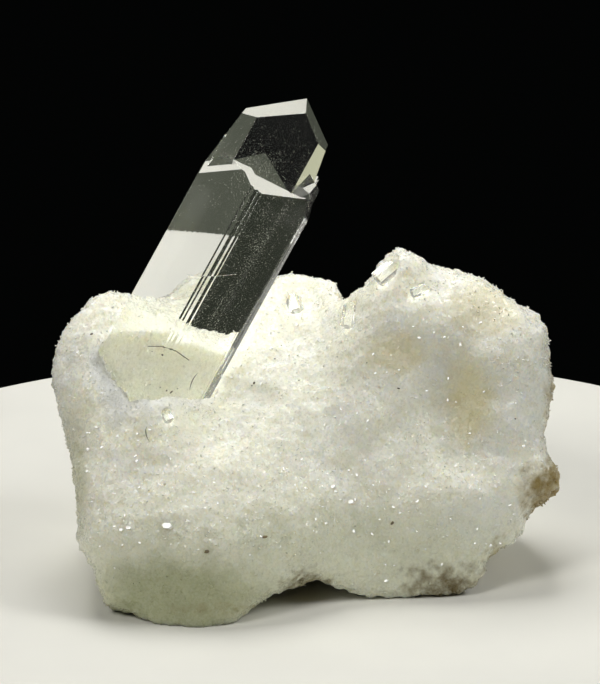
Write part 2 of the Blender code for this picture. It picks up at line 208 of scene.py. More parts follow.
class EffectGroups:
    """The effects that several finishes share, each one node group."""

    VECTOR = "NodeSocketVector"
    NUMBER = "NodeSocketFloat"
    PATCH_EDGE = (1.0, 0.35)

    def __init__(self) -> None:
        """Builds the groups."""
        self.patch = self.patch_group()
        self.facets = self.facet_group()
        self.mottle = self.mottle_group()

    def patch_group(self) -> NodeTree:
        """Returns a group that masks one ragged-edged patch."""
        inputs = dict.fromkeys(("Where", "Centre", "Reach"), self.VECTOR)
        inputs |= dict.fromkeys(("Ragged", "Grain"), self.NUMBER)
        bench, came, leave = new_group("ShaderNodeTree", "patch", inputs, {"Mask": self.NUMBER})
        aside = bench.arrow("SUBTRACT", came["Where"], came["Centre"])
        apart = bench.arrow("LENGTH", bench.arrow("DIVIDE", aside, came["Reach"]))
        inputs = {"Vector": came["Where"], "Scale": came["Grain"], "Detail": 3.0}
        cloud = bench.add(Texture.CLOUD.value, inputs).outputs[0]
        rough = bench.sum("MULTIPLY", bench.sum("SUBTRACT", cloud, 0.5), came["Ragged"])
        bench.fill(leave, {"Mask": bench.ramp(bench.sum("ADD", apart, rough), *self.PATCH_EDGE)})
        return bench.tree

    def facet_group(self) -> NodeTree:
        """Returns a group that breaks the surface into small flat facets, each tilted its way."""
        inputs = {"Where": self.VECTOR, "Fineness": self.NUMBER, "Tilt": self.NUMBER}
        inputs |= {"Share": self.NUMBER, "Normal": self.VECTOR}
        outputs = {"Normal": self.VECTOR, "Chance": self.NUMBER}
        bench, came, leave = new_group("ShaderNodeTree", "facets", inputs, outputs)
        inputs = {"Vector": came["Where"], "Scale": came["Fineness"]}
        colour = bench.add(Texture.CELLS.value, inputs).outputs["Color"]
        split = bench.add("ShaderNodeSeparateColor", {0: colour})
        picked = bench.sum("LESS_THAN", split.outputs[2], came["Share"])
        turn = bench.arrow("SUBTRACT", colour, (0.5, 0.5, 0.5))
        for scale in (came["Tilt"], picked):
            inputs = {0: turn, "Scale": scale}
            turn = bench.add("ShaderNodeVectorMath", inputs, operation="SCALE").outputs[0]
        turned = bench.arrow("NORMALIZE", bench.arrow("ADD", came["Normal"], turn))
        bench.fill(leave, {"Normal": turned, "Chance": picked})
        return bench.tree

    def mottle_group(self) -> NodeTree:
        """Returns a group that gives soft clouds with fine grain in them, from 0 to 1."""
        inputs = {"Where": self.VECTOR, "Scale": self.NUMBER, "Contrast": self.NUMBER}
        bench, came, leave = new_group("ShaderNodeTree", "mottle", inputs, {"Value": self.NUMBER})
        inputs = {"Vector": came["Where"], "Scale": came["Scale"], "Detail": 5.0}
        cloud = bench.add(Texture.CLOUD.value, inputs).outputs[0]
        spread = bench.sum("MULTIPLY", bench.sum("SUBTRACT", cloud, 0.5), came["Contrast"])
        above = bench.sum("MAXIMUM", bench.sum("ADD", spread, 0.5), 0.0)
        bench.fill(leave, {"Value": bench.sum("MINIMUM", above, 1.0)})
        return bench.tree


class FinishBench(Bench):
    """A material being wired up, with its shader, its coordinates and the shared effects."""

    def __init__(
        self, name: str, groups: EffectGroups | None = None, turn: Matrix = Matrix()
    ) -> None:
        """Starts the material.

        Args:
            name: its name.
            groups: the shared effects, if it uses them.
            turn: the frame of its coordinates, as a matrix from it to the piece.
        """
        self.material = bpy.data.materials.new(name)
        self.material.use_nodes = True
        super().__init__(self.material.node_tree)
        self.shader = self.tree.nodes["Principled BSDF"]
        self.groups = groups
        self.where = self.add("ShaderNodeTexCoord").outputs["Object"]
        if groups is not None:
            inputs = {"Vector": self.where}
            inputs |= {"Location": turn.to_translation(), "Rotation": turn.to_euler()}
            self.where = self.add("ShaderNodeMapping", inputs, vector_type="TEXTURE").outputs[0]

    def bump(self, height: NodeSocket, strength: float, mm: float) -> Node:
        """Returns a new node that turns heights of at most this many mm into a normal."""
        inputs = {"Height": height, "Strength": strength, "Distance": mm * MM}
        return self.add("ShaderNodeBump", inputs)

    def effect(self, tree: NodeTree, **inputs: object) -> Node:
        """Returns a new node of a shared effect, in the finish's coordinates."""
        inputs["Where"] = self.where
        return self.add("ShaderNodeGroup", inputs, node_tree=tree)


@dataclass(frozen=True)
class Patch:
    """A ragged-edged spot of a finish, placed in mm across, up and out of a face or a crystal.

    Its grain is how many clouds to a metre fray its edge.
    """

    centre: Triple
    reach: Triple
    strength: float
    ragged: float = 0.9
    grain: float = 900.0
    colour: Colour = (0.0, 0.0, 0.0)

    def mask(self, bench: FinishBench) -> NodeSocket:
        """Adds the patch to a finish.

        Args:
            bench: the finish's bench.

        Returns:
            The patch's mask, from 0 to 1.
        """
        (across, up, out), (wide, high, deep) = self.centre, self.reach
        spot = {"Centre": Vector((across, -out, up)) * MM, "Reach": Vector((wide, deep, high)) * MM}
        fray = {"Ragged": self.ragged, "Grain": self.grain}
        return bench.effect(bench.groups.patch, **spot, **fray).outputs[0]


@dataclass(frozen=True)
class RockFinish:
    """White, slightly warm gypsum that light soaks into, with stains, tints, patches of painted
    shade and a fine sugary glint.

    Sizes are in mm. A band is where a pattern starts and stops to show. A layer of facets is how
    many there are to a metre, how far they tilt and what share does. Each patch lies over the ones
    before it.
    """

    name: str
    groups: EffectGroups
    face: LeaningFace
    white: Colour = (0.95, 0.94, 0.84)
    shade: Colour = (0.88, 0.875, 0.73)
    clouds: Pair = (190.0, 1.7)
    fleck: Colour = (0.97, 0.965, 0.92)
    fleck_size: float = 0.7
    fleck_share: float = 0.40
    fleck_band: Pair = (0.52, 0.72)
    grain_size: float = 0.8
    sugar_size: float = 0.5
    sugar_depth: float = 0.6
    bump_strength: float = 0.4
    bump_height: float = 0.14
    facets: tuple[Triple, ...] = ((2300.0, 0.32, 0.8), (3600.0, 0.55, 0.5))
    facet_shine: float = 0.6
    dullness: float = 0.55
    fleck_dullness: float = 0.75
    dull_band: Pair = (0.4, 0.7)
    index: float = 1.52
    soak: float = 3.0
    soak_colour: Colour = (1.0, 0.9, 0.7)
    patches: tuple[Patch, ...] = (
        # Greener and darker towards the bottom: partly the rock's greenish tint, partly painted
        # shade on the lower faces.
        Patch((0, 8, 0), (52, 16, 60), 0.60, 0.5, 120, (0.66, 0.68, 0.52)),
        # Two tan patches in the right lobe's hollows, painted shade with a tan tint, then a fainter
        # tan patch.
        Patch((13.5, 40.5, 0), (6, 4.5, 14), 0.55, 0.7, 220, (0.88, 0.80, 0.52)),
        Patch((24.5, 33.5, 0), (4.6, 9.5, 14), 0.60, 0.7, 220, (0.84, 0.76, 0.44)),
        Patch((27, 47, 0), (8, 5.5, 14), 0.35, 0.7, 260, (0.78, 0.70, 0.42)),
        Patch((33.5, 33, 0), (4.5, 10, 14), 0.35, 0.6, 300, (0.86, 0.89, 0.87)),
        Patch((26, 16.5, 0), (9, 6.5, 14), 0.35, 0.7, 300, (0.80, 0.84, 0.82)),
        # The lower left face, greenish-olive: partly its own tint, partly painted shade where it
        # faces down.
        Patch((-19, 4.6, 12), (18, 8.6, 26), 0.90, 0.5, 260, (0.44, 0.46, 0.28)),
        Patch((-34.5, 22, 4), (3.6, 13, 20), 0.55, 0.6, 300, (0.55, 0.55, 0.36)),
        Patch((39, 31, -8), (4, 15, 34), 0.95, 0.9, 600, (0.34, 0.26, 0.10)),
        Patch((35.8, 20, -8), (5.5, 6.4, 30), 0.95, 1, 700, (0.30, 0.22, 0.06)),
        Patch((28.5, 11.5, -8), (3.4, 5.4, 14), 0.85, 1.2, 700, (0.36, 0.29, 0.10)),
        Patch((20.5, 6.6, -4), (10.5, 5.6, 14), 0.97, 1, 650, (0.14, 0.10, 0.02)),
        Patch((-1.5, 7.4, 2), (7.4, 3.2, 12), 0.97, 1.1, 800, (0.18, 0.14, 0.04)),
        Patch((-14, 3.2, 9), (9, 1.6, 9), 0.80, 1.2, 800, (0.40, 0.38, 0.22)),
    )

    def colour(self, bench: FinishBench, flecks: NodeSocket) -> NodeSocket:
        """Mixes the rock's colour.

        Args:
            bench: the finish's bench.
            flecks: the pattern of its small pale flecks.

        Returns:
            The colour.
        """
        scale, contrast = self.clouds
        mottle = bench.effect(self.groups.mottle, Scale=scale, Contrast=contrast)
        colour = bench.mix(mottle.outputs["Value"], self.shade, self.white)
        pale = bench.ramp(flecks, *self.fleck_band, 0.0, self.fleck_share)
        colour = bench.mix(pale, colour, self.fleck)
        # The patches are stains and tints, and some are painted shade in hollows and on the
        # down-facing lower faces.
        for patch in self.patches:
            share = bench.sum("MULTIPLY", patch.mask(bench), patch.strength)
            colour = bench.mix(share, colour, patch.colour)
        return colour

    def relief(self, bench: FinishBench) -> Node:
        """Adds the sugary relief that is too fine for the mesh.

        Args:
            bench: the finish's bench.

        Returns:
            The node of the topmost facets.
        """
        grain = bench.pattern(Texture.CLOUD, bench.where, self.grain_size, Detail=5.0).outputs[0]
        sugar = bench.pattern(Texture.CELLS, bench.where, self.sugar_size).outputs["Distance"]
        height = bench.sum("MULTIPLY_ADD", sugar, -self.sugar_depth, grain)
        top = bench.bump(height, self.bump_strength, self.bump_height)
        for fineness, tilt, share in self.facets:
            layer = {"Fineness": fineness, "Tilt": tilt, "Share": share}
            top = bench.effect(self.groups.facets, Normal=top.outputs["Normal"], **layer)
        return top

    def material(self) -> Material:
        """Returns the finished material."""
        bench = FinishBench(self.name, self.groups, self.face.matrix())
        flecks = bench.pattern(Texture.CLOUD, bench.where, self.fleck_size, Detail=4.0).outputs[0]
        relief = self.relief(bench)
        dullest = self.fleck_dullness * self.dullness
        dull = bench.ramp(flecks, *self.dull_band, self.dullness, dullest)
        shine = bench.sum("MULTIPLY_ADD", relief.outputs["Chance"], -self.facet_shine, 1.0)
        inputs = {
            "Base Color": self.colour(bench, flecks),
            "Roughness": bench.sum("MULTIPLY", shine, dull),
            "Normal": relief.outputs["Normal"],
            "IOR": self.index,
        }
        if self.soak:
            inputs["Subsurface Weight"] = 1.0
            inputs["Subsurface Radius"] = self.soak_colour
            inputs["Subsurface Scale"] = self.soak * MM
        bench.fill(bench.shader, inputs)
        return bench.material


@dataclass(frozen=True)
class ClearFinish:
    """Water-clear selenite: a glass of its own index, with dull patches and fine growth lines.

    Its thickness is how strongly a metre of it takes on the tint, and passed is what the lamps
    keep as they shine through it.
    """

    name: str
    groups: EffectGroups
    axes: CrystalAxes
    frosts: tuple[Patch, ...] = ()
    base: Colour = (0.985, 0.99, 0.975)
    tint: Colour = (0.88, 0.90, 0.84)
    thickness: float = 12.0
    passed: Colour = (0.82, 0.82, 0.78)
    clear: float = 0.99
    index: float = 1.523
    haze: float = 0.10
    haze_band: Pair = (0.52, 0.75)
    clouds: Pair = (900.0, 3.0)
    frost_grain: Pair = (0.6, 0.5)
    line_size: float = 0.5
    line_stretch: float = 0.03
    line_strength: float = 0.08
    line_height: float = 0.03

    def material(self) -> Material:
        """Returns the finished material."""
        bench = FinishBench(self.name, self.groups, self.axes.matrix())
        stretched = bench.arrow("MULTIPLY", bench.where, (1.0, 1.0, self.line_stretch))
        lines = bench.pattern(Texture.CLOUD, stretched, self.line_size, Detail=3.0).outputs[0]
        inputs = {
            "Normal": bench.bump(lines, self.line_strength, self.line_height).outputs[0],
            "Roughness": self.dullness(bench, lines),
            "Base Color": self.base,
            "Transmission Weight": self.clear,
            "IOR": self.index,
        }
        bench.fill(bench.shader, inputs)
        self.fill_inside(bench)
        return bench.material

    def dullness(self, bench: FinishBench, lines: NodeSocket) -> NodeSocket:
        """Mixes the crystal's roughness from its growth lines and its dull patches.

        Args:
            bench: the finish's bench.
            lines: the pattern of the growth lines.

        Returns:
            The roughness.
        """
        scale, contrast = self.clouds
        mottle = bench.effect(self.groups.mottle, Scale=scale, Contrast=contrast).outputs["Value"]
        haze = bench.sum("MULTIPLY", bench.ramp(lines, *self.haze_band), mottle)
        rough = bench.sum("MULTIPLY", haze, self.haze)
        for frost in self.frosts:
            grainy = bench.sum("MULTIPLY_ADD", mottle, *self.frost_grain)
            share = bench.sum("MULTIPLY", frost.mask(bench), grainy)
            rough = bench.sum("MAXIMUM", rough, bench.sum("MULTIPLY", share, frost.strength))
        return rough

    def fill_inside(self, bench: FinishBench) -> None:
        """Tints the crystal through, and lets the lamps light what lies under and behind it.

        Args:
            bench: the finish's bench.
        """
        inputs = {"Color": self.tint, "Density": self.thickness}
        absorb = bench.add("ShaderNodeVolumeAbsorption", inputs)
        straight = bench.add("ShaderNodeBsdfTransparent", {"Color": self.passed})
        lamp_ray = bench.add("ShaderNodeLightPath").outputs["Is Shadow Ray"]
        inputs = {0: lamp_ray, 1: bench.shader.outputs[0], 2: straight.outputs[0]}
        both = bench.add("ShaderNodeMixShader", inputs)
        output = bench.tree.nodes["Material Output"]
        bench.fill(output, {"Volume": absorb.outputs[0], "Surface": both.outputs[0]})


@dataclass(frozen=True)
class PlainFinish:
    """A small piece's finish: one stone-like colour with clouds of this grain in mm in it."""

    name: str
    light: Colour
    dark: Colour
    roughness: float
    grain: float = 1.0
    index: float = 1.52
    band: Pair = (0.35, 0.65)
    dull_band: Pair = (0.3, 0.7)
    more_dull: float = 1.5

    def material(self) -> Material:
        """Returns the finished material."""
        bench = FinishBench(self.name)
        cloud = bench.pattern(Texture.CLOUD, bench.where, self.grain, Detail=3.0).outputs[0]
        dullest = self.roughness * self.more_dull
        inputs = {
            "Base Color": bench.mix(bench.ramp(cloud, *self.band), self.dark, self.light),
            "Roughness": bench.ramp(cloud, *self.dull_band, self.roughness, dullest),
            "IOR": self.index,
        }
        bench.fill(bench.shader, inputs)
        return bench.material


def mesh_from(work: bmesh.types.BMesh, name: str) -> Mesh:
    """Turns what was built in a bmesh into a mesh, and frees the bmesh.

    Args:
        work: the bmesh.
        name: the mesh's name.

    Returns:
        The mesh.
    """
    mesh = bpy.data.meshes.new(name)
    work.to_mesh(mesh)
    work.free()
    return mesh


def copied_mesh(node: str, name: str, flat: float = 0.0) -> Mesh:
    """Copies a node's mesh, with its loose triangles joined.

    Args:
        node: the node.
        name: the copy's name.
        flat: the angle below which its faces become one.

    Returns:
        The joined copy.
    """
    work = bmesh.new()
    work.from_mesh(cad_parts[node].data)
    bmesh.ops.remove_doubles(work, verts=work.verts, dist=1e-6)
    if flat:
        bmesh.ops.dissolve_limit(work, angle_limit=flat, verts=work.verts, edges=work.edges)
    mesh = mesh_from(work, name)
    for kept in ("custom_normal", "sharp_face"):
        if kept in mesh.attributes:
            mesh.attributes.remove(mesh.attributes[kept])
    return mesh


def placed(name: str, mesh: Mesh, material: Material | None = None) -> Object:
    """Puts a mesh in the scene as an object at the origin.

    Args:
        name: the object's name.
        mesh: its mesh.
        material: its material, if it gets one here.

    Returns:
        The object.
    """
    piece = bpy.data.objects.new(name, mesh)
    bpy.context.scene.collection.objects.link(piece)
    if material is not None:
        mesh.materials.clear()
        mesh.materials.append(material)
    return piece


def evaluated_copy(source: Object, name: str) -> Mesh:
    """Turns an object with live modifiers into a plain mesh.

    Args:
        source: the object.
        name: the new mesh's name.

    Returns:
        The plain mesh.
    """
    bpy.context.view_layer.update()
    graph = bpy.context.evaluated_depsgraph_get()
    mesh = bpy.data.meshes.new_from_object(source.evaluated_get(graph), depsgraph=graph)
    mesh.name = name
    return mesh


def clip_to_box(mesh: Mesh, node: str) -> None:
    """Presses what stands out of a node's box back to it.

    Args:
        mesh: the mesh.
        node: the node whose box holds it.
    """
    points = np.zeros(len(mesh.vertices) * 3)
    mesh.vertices.foreach_get("co", points)
    lowest, highest = (np.array(corner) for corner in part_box(node))
    mesh.vertices.foreach_set("co", np.clip(points.reshape(-1, 3), lowest, highest).ravel())
    mesh.update()


def bell(value: float, centre: float, width: float) -> float:
    """Returns a bell curve's height: 1 at its centre, and near 0 two widths from it."""
    return math.exp(-(((value - centre) / width) ** 2))


def finish_piece(piece: Object, slot: Slot, *replaced: str) -> Object:
    """Sets a piece on the specimen's one body and reports it.

    Args:
        piece: the piece.
        slot: the record's slot; not used.
        replaced: the nodes that it stands for.

    Returns:
        The piece.
    """
    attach(piece, "root")
    if replaced:
        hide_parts(*replaced)
    triangles = sum(len(p.vertices) - 2 for p in piece.data.polygons)
    LOG.info("%s: %d triangles", piece.name, triangles)
    return piece


@dataclass
class MatrixRock:
    """The white lump: the solid's shape, made rough and crumbly within it.

    Sizes are in mm. Each knob and the jagged rim are a size and a height. The druse is how thickly
    small crystals cover each spot: sparse on the open face, and thick along the ridges, on the rim
    and in a collar round the main crystal.
    """

    face: LeaningFace
    voxel: float = 0.41
    knobs: Line = ((5.2, 0.42), (2.3, 0.20), (1.0, 0.14))
    knob_shift: Pair = (3.1, 7.7)
    jag: Pair = (1.3, 0.55)
    sink: float = 0.20
    calm_reach: float = 2.0
    ridges: tuple[Line, ...] = (
        ((-29.7, 36.1), (-25.2, 35.6), (-20.7, 35.1), (-16.8, 33.3), (-13.2, 31.7)),
        ((29.7, 42.6), (26.3, 30.6), (24.3, 25.1), (18.8, 20.6), (12, 16.5)),
        ((-25, 14.8), (-12, 13.6), (0, 12.5)),
        ((10.5, 53.2), (13.2, 55.6)),
        ((6, 45.2), (7.5, 48.4)),
        ((16.6, 50), (19.4, 51)),
        ((-3.2, 47), (-0.8, 49.2)),
        ((-20.6, 30), (-18.6, 31.6)),
    )
    ridge_reach: float = 1.4
    sparse: float = 0.32
    druse_from: float = -0.15
    druse_fade: float = 0.35
    rim: float = 0.5
    rim_turn: Pair = (0.1, 0.3)
    collar: float = 0.9
    collar_reach: float = 0.8
    under_crystal: float = 0.4

    def build(self) -> Object:
        """Returns the rough lump, without its finish."""
        base = placed("rock_blank", copied_mesh("matrix", "rock_blank"))
        remesh = base.modifiers.new("even", "REMESH")
        remesh.mode = "VOXEL"
        remesh.voxel_size = self.voxel * MM
        mesh = evaluated_copy(base, "matrix_rock")
        bpy.data.objects.remove(base)
        self.roughen(mesh)
        mesh.polygons.foreach_set("use_smooth", [True] * len(mesh.polygons))
        return placed("matrix_rock", mesh)

    @staticmethod
    def apart(across: float, up: float, line: Line) -> float:
        """Measures how far a place on the face is from a bent line.

        Args:
            across: the place across, in mm.
            up: the place up, in mm.
            line: the line's corners.

        Returns:
            The distance in mm.
        """
        nearest = math.inf
        for (x0, z0), (x1, z1) in zip(line, line[1:]):
            run, rise = x1 - x0, z1 - z0
            share = ((across - x0) * run + (up - z0) * rise) / (run * run + rise * rise)
            share = min(1.0, max(0.0, share))
            gap = math.hypot(across - x0 - share * run, up - z0 - share * rise)
            nearest = min(nearest, gap)
        return nearest

    def roughen(self, mesh: Mesh) -> None:
        """Moves the surface by layers of soft knobs, and marks where the druse grows.

        Args:
            mesh: the even mesh of the lump.
        """
        count = len(mesh.vertices)
        points = np.zeros(count * 3)
        normals = np.zeros(count * 3)
        mesh.vertices.foreach_get("co", points)
        mesh.vertex_normals.foreach_get("vector", normals)
        points, normals = points.reshape(-1, 3), normals.reshape(-1, 3)
        graph = bpy.context.evaluated_depsgraph_get()
        seat = BVHTree.FromObject(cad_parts["selenite_crystal"], graph)
        facing = normals @ np.array(self.face.outward())
        into_face = self.face.matrix().inverted()
        druse = self.sparse * np.clip((facing - self.druse_from) / self.druse_fade, 0.0, 1.0)
        lift = np.zeros(count)
        jag_size, jag_height = self.jag
        for index in range(count):
            spot = Vector(points[index])
            for size, height in self.knobs:
                shift = Vector((size, *self.knob_shift))
                lift[index] += height * noise.noise(spot / (size * MM) + shift)
            on_rim = bell(facing[index], *self.rim_turn)
            lift[index] += jag_height * on_rim * noise.noise(spot / (jag_size * MM))
            near = seat.find_nearest(spot, self.calm_reach * MM)[3]
            if near is not None:
                lift[index] *= near / (self.calm_reach * MM)
                if seat.ray_cast(spot, self.face.outward())[0] is not None:
                    druse[index] *= self.under_crystal
                else:
                    druse[index] += self.collar * bell(near, 0.0, self.collar_reach * MM)
            flat = into_face @ spot / MM
            apart = min(self.apart(flat.x, flat.z, line) for line in self.ridges)
            druse[index] += max(0.0, facing[index]) * bell(apart, 0.0, self.ridge_reach)
            druse[index] += self.rim * on_rim
        points += normals * ((lift - self.sink) * MM)[:, None]
        mesh.vertices.foreach_set("co", points.ravel())
        marks = mesh.attributes.new("druse", "FLOAT", "POINT")
        marks.data.foreach_set("value", druse.astype(np.float32))
        clip_to_box(mesh, "matrix")


@dataclass(frozen=True)
class Blade:
    """A small gypsum crystal: a flat six-sided blade with a sloping roof, one unit long."""

    width: float = 0.62
    thickness: float = 0.40
    foot: float = -0.35
    shoulder: float = 0.62
    skew: float = 0.12
    ridge: Line = ((-0.45, 1.0), (0.5, 0.65))

    def mesh(self) -> Mesh:
        """Returns the blade's mesh, closed, standing on its foot along +Z."""
        w, t = self.width / 2.0, self.thickness / 2.0
        ring = [(-w, 0.0), (-w / 2, -t), (w / 2, -t), (w, 0.0), (w / 2, t), (-w / 2, t)]
        work = bmesh.new()
        low = [work.verts.new((x, y, self.foot)) for x, y in ring]
        high = [work.verts.new((x, y, self.shoulder - self.skew * x / w)) for x, y in ring]
        left, right = (work.verts.new((w * share, 0.0, z)) for share, z in self.ridge)
        work.faces.new(low[::-1])
        for i in range(6):
            j = (i + 1) % 6
            work.faces.new((low[i], low[j], high[j], high[i]))
        crests = ((left,), (right, left), (right,), (right,), (left, right), (left,))
        for i, crest in enumerate(crests):
            work.faces.new((high[i], high[(i + 1) % 6], *crest))
        bmesh.ops.recalc_face_normals(work, faces=work.faces)
        bmesh.ops.triangulate(work, faces=work.faces)
        return mesh_from(work, "blade")


@dataclass(frozen=True)
class Scatter:
    """Geometry nodes that strew one small shape over a surface, each turned and sized its way.

    The density is in copies to a square metre, thinned out by the surface's own mask. Sizes and
    the sink are in mm, and the crowding is the power that makes small copies commoner.
    """

    mask: str
    node: str
    density: float
    smallest: float
    largest: float
    tilt: float
    sink: float
    seed: int
    crowding: float = 2.2

    def tree(self, shape: Object, finish: Material) -> NodeTree:
        """Wires the nodes.

        Args:
            shape: what they strew.
            finish: the copies' material.

        Returns:
            Their tree.
        """
        ends = {"Geometry": "NodeSocketGeometry"}
        name = "strew_" + self.mask
        bench, came, leave = new_group("GeometryNodeTree", name, ends, ends)
        inputs = {"Name": self.mask}
        share = bench.add("GeometryNodeInputNamedAttribute", inputs, data_type="FLOAT").outputs[0]
        density = bench.sum("MULTIPLY", self.density, share)
        inputs = {"Mesh": came[0], "Density": density, "Seed": self.seed}
        strewn = bench.add("GeometryNodeDistributePointsOnFaces", inputs)
        low, high = (-self.tilt, -self.tilt, -math.pi), (self.tilt, self.tilt, math.pi)
        inputs = {0: low, 1: high, "Seed": self.seed}
        luck = bench.add("FunctionNodeRandomValue", inputs, data_type="FLOAT_VECTOR").outputs[0]
        turn = bench.add("FunctionNodeEulerToRotation", {0: luck}).outputs[0]
        inputs = {"Rotation": strewn.outputs["Rotation"], "Rotate By": turn}
        turned = bench.add("FunctionNodeRotateRotation", inputs, rotation_space="LOCAL")
        inputs = {"Seed": self.seed + 7}
        luck = bench.add("FunctionNodeRandomValue", inputs, data_type="FLOAT").outputs[1]
        small = bench.sum("POWER", luck, self.crowding)
        spread = bench.sum("SUBTRACT", self.largest * MM, self.smallest * MM)
        inputs = {
            "Points": strewn.outputs["Points"],
            "Instance": bench.add("GeometryNodeObjectInfo", {"Object": shape}).outputs["Geometry"],
            "Rotation": turned.outputs[0],
            "Scale": bench.sum("MULTIPLY_ADD", small, spread, self.smallest * MM),
        }
        copies = bench.add("GeometryNodeInstanceOnPoints", inputs).outputs[0]
        inputs = {"Instances": copies, "Translation": (0.0, 0.0, -self.sink * MM)}
        moved = bench.add("GeometryNodeTranslateInstances", inputs).outputs[0]
        real = bench.add("GeometryNodeRealizeInstances", {0: moved}).outputs[0]
        inputs = {0: real, "Material": finish}
        bench.fill(leave, {0: bench.add("GeometryNodeSetMaterial", inputs).outputs[0]})
        return bench.tree

    def strew(self, name: str, surface: Object, grain: Mesh, finish: Material) -> Object:
        """Strews a shape over a surface.

        Args:
            name: the new piece's name.
            surface: the object whose faces carry the copies.
            grain: the shape.
            finish: the copies' material.

        Returns:
            All the copies as one piece, pressed into the node's box.
        """
        shape = placed(grain.name, grain)
        modifier = surface.modifiers.new("strew", "NODES")
        modifier.node_group = self.tree(shape, finish)
        mesh = evaluated_copy(surface, name)
        surface.modifiers.remove(modifier)
        bpy.data.objects.remove(shape)
        clip_to_box(mesh, self.node)
        return placed(name, mesh)


@dataclass
class DruseCarpet:
    """The small gypsum crystals that cover the open face of the matrix and make it glint."""

    rock: Object
    finish: RockFinish
    scatter: Scatter = Scatter("druse", "matrix", 2.3e6, 0.14, 0.46, tilt=1.2, sink=0.10, seed=11)

    def build(self) -> Object:
        """Returns the carpet of crystals as one piece."""
        finish = self.finish.material()
        return self.scatter.strew("druse_crystals", self.rock, Blade().mesh(), finish)


@dataclass
class MainCrystal:
    """The clear crystal: flat faces that meet in fine, slightly worn edges."""

    finish: ClearFinish
    worn_edge: float = 0.05
    flat_within: float = math.radians(0.4)
    edge_from: float = math.radians(8.0)

    def build(self) -> Object:
        """Returns the crystal with its finish."""
        mesh = copied_mesh("selenite_crystal", "crystal_blank", self.flat_within)
        base = placed("crystal_blank", mesh)
        bevel = base.modifiers.new("worn", "BEVEL")
        bevel.width = self.worn_edge * MM
        bevel.segments = 2
        bevel.limit_method = "ANGLE"
        bevel.angle_limit = self.edge_from
        bevel.use_clamp_overlap = True
        final = evaluated_copy(base, "main_crystal")
        final.shade_flat()
        bpy.data.objects.remove(base)
        return placed("main_crystal", final, self.finish.material())


@dataclass
class OnFace:
    """Small things of one kind on the specimen's face, each a row of places and sizes in mm."""

    name: str
    face: LeaningFace
    surface: BVHTree
    rows: Rows
    smooth: bool = True

    def build(self, material: Material) -> None:
        """Builds them all as one piece.

        Args:
            material: their finish.
        """
        work = bmesh.new()
        for index, row in enumerate(self.rows):
            self.add(work, index, row)
        bmesh.ops.recalc_face_normals(work, faces=work.faces)
        mesh = mesh_from(work, self.name)
        if self.smooth:
            mesh.shade_smooth()
        finish_piece(placed(self.name, mesh, material), Slot.ROCK)

    def add(self, work: bmesh.types.BMesh, index: int, row: tuple) -> None:
        """Adds one thing: each kind has its own way.

        Args:
            work: where it is built.
            index: its number.
            row: its places and sizes.
        """
        raise NotImplementedError


@dataclass
class DirtSpecks(OnFace):
    """Grains of dirt. A row is across, up, the size, how long the grain is and its turn."""

    flatness: float = 0.55
    bumps: float = 0.35
    bump_size: float = 0.2

    def add(self, work: bmesh.types.BMesh, index: int, row: tuple) -> None:
        """Adds one grain.

        Args:
            work: where it is built.
            index: its number.
            row: its places and sizes.
        """
        across, up, size, stretch, turn = row
        found = self.face.landing(across, up, self.surface)
        if found is None:
            return
        place, normal = found
        before = len(work.verts)
        bmesh.ops.create_icosphere(work, subdivisions=2, radius=0.5 * size * MM)
        work.verts.ensure_lookup_table()
        stand = normal.to_track_quat("Z", "Y").to_matrix().to_4x4() @ Matrix.Rotation(turn, 4, "Z")
        shape = Matrix.Diagonal((stretch, 1.0, self.flatness, 1.0))
        for vert in work.verts[before:]:
            spot = vert.co / (self.bump_size * MM) + Vector((index, 2.0, 5.0))
            bumpy = 1.0 + self.bumps * noise.noise(spot)
            vert.co = Matrix.Translation(place) @ stand @ shape @ (vert.co * bumpy)


@dataclass
class Fibres(OnFace):
    """Thin hairs. A row is the three points that bend the hair, each across and up."""

    width: float = 0.11
    thin_end: float = 0.35
    lift: float = 0.03
    sides: int = 5
    pieces: int = 14

    def add(self, work: bmesh.types.BMesh, index: int, row: tuple) -> None:
        """Adds one hair.

        Args:
            work: where it is built.
            index: its number.
            row: its places and sizes.
        """
        outward = self.face.outward()
        aside = outward.cross(Vector((0.3, 0.2, 0.9))).normalized()
        turns = [math.tau * k / self.sides for k in range(self.sides)]
        ways = [aside * math.cos(t) + outward * math.sin(t) for t in turns]
        rings = []
        for step in range(self.pieces + 1):
            share = step / self.pieces
            weights = (1 - share) ** 2, 2 * share * (1 - share), share**2
            across, up = (sum(w * point[k] for w, point in zip(weights, row)) for k in (0, 1))
            found = self.face.landing(across, up, self.surface)
            if found is None:
                continue
            thick = 0.5 * self.width * MM * (self.thin_end + math.sin(math.pi * share))
            centre = found[0] + outward * self.lift * MM
            rings.append([work.verts.new(centre + way * thick) for way in ways])
        for low, high in zip(rings, rings[1:]):
            for k in range(self.sides):
                work.faces.new((low[k], low[k - 1], high[k - 1], high[k]))
        work.faces.new(rings[0])
        work.faces.new(rings[-1][::-1])


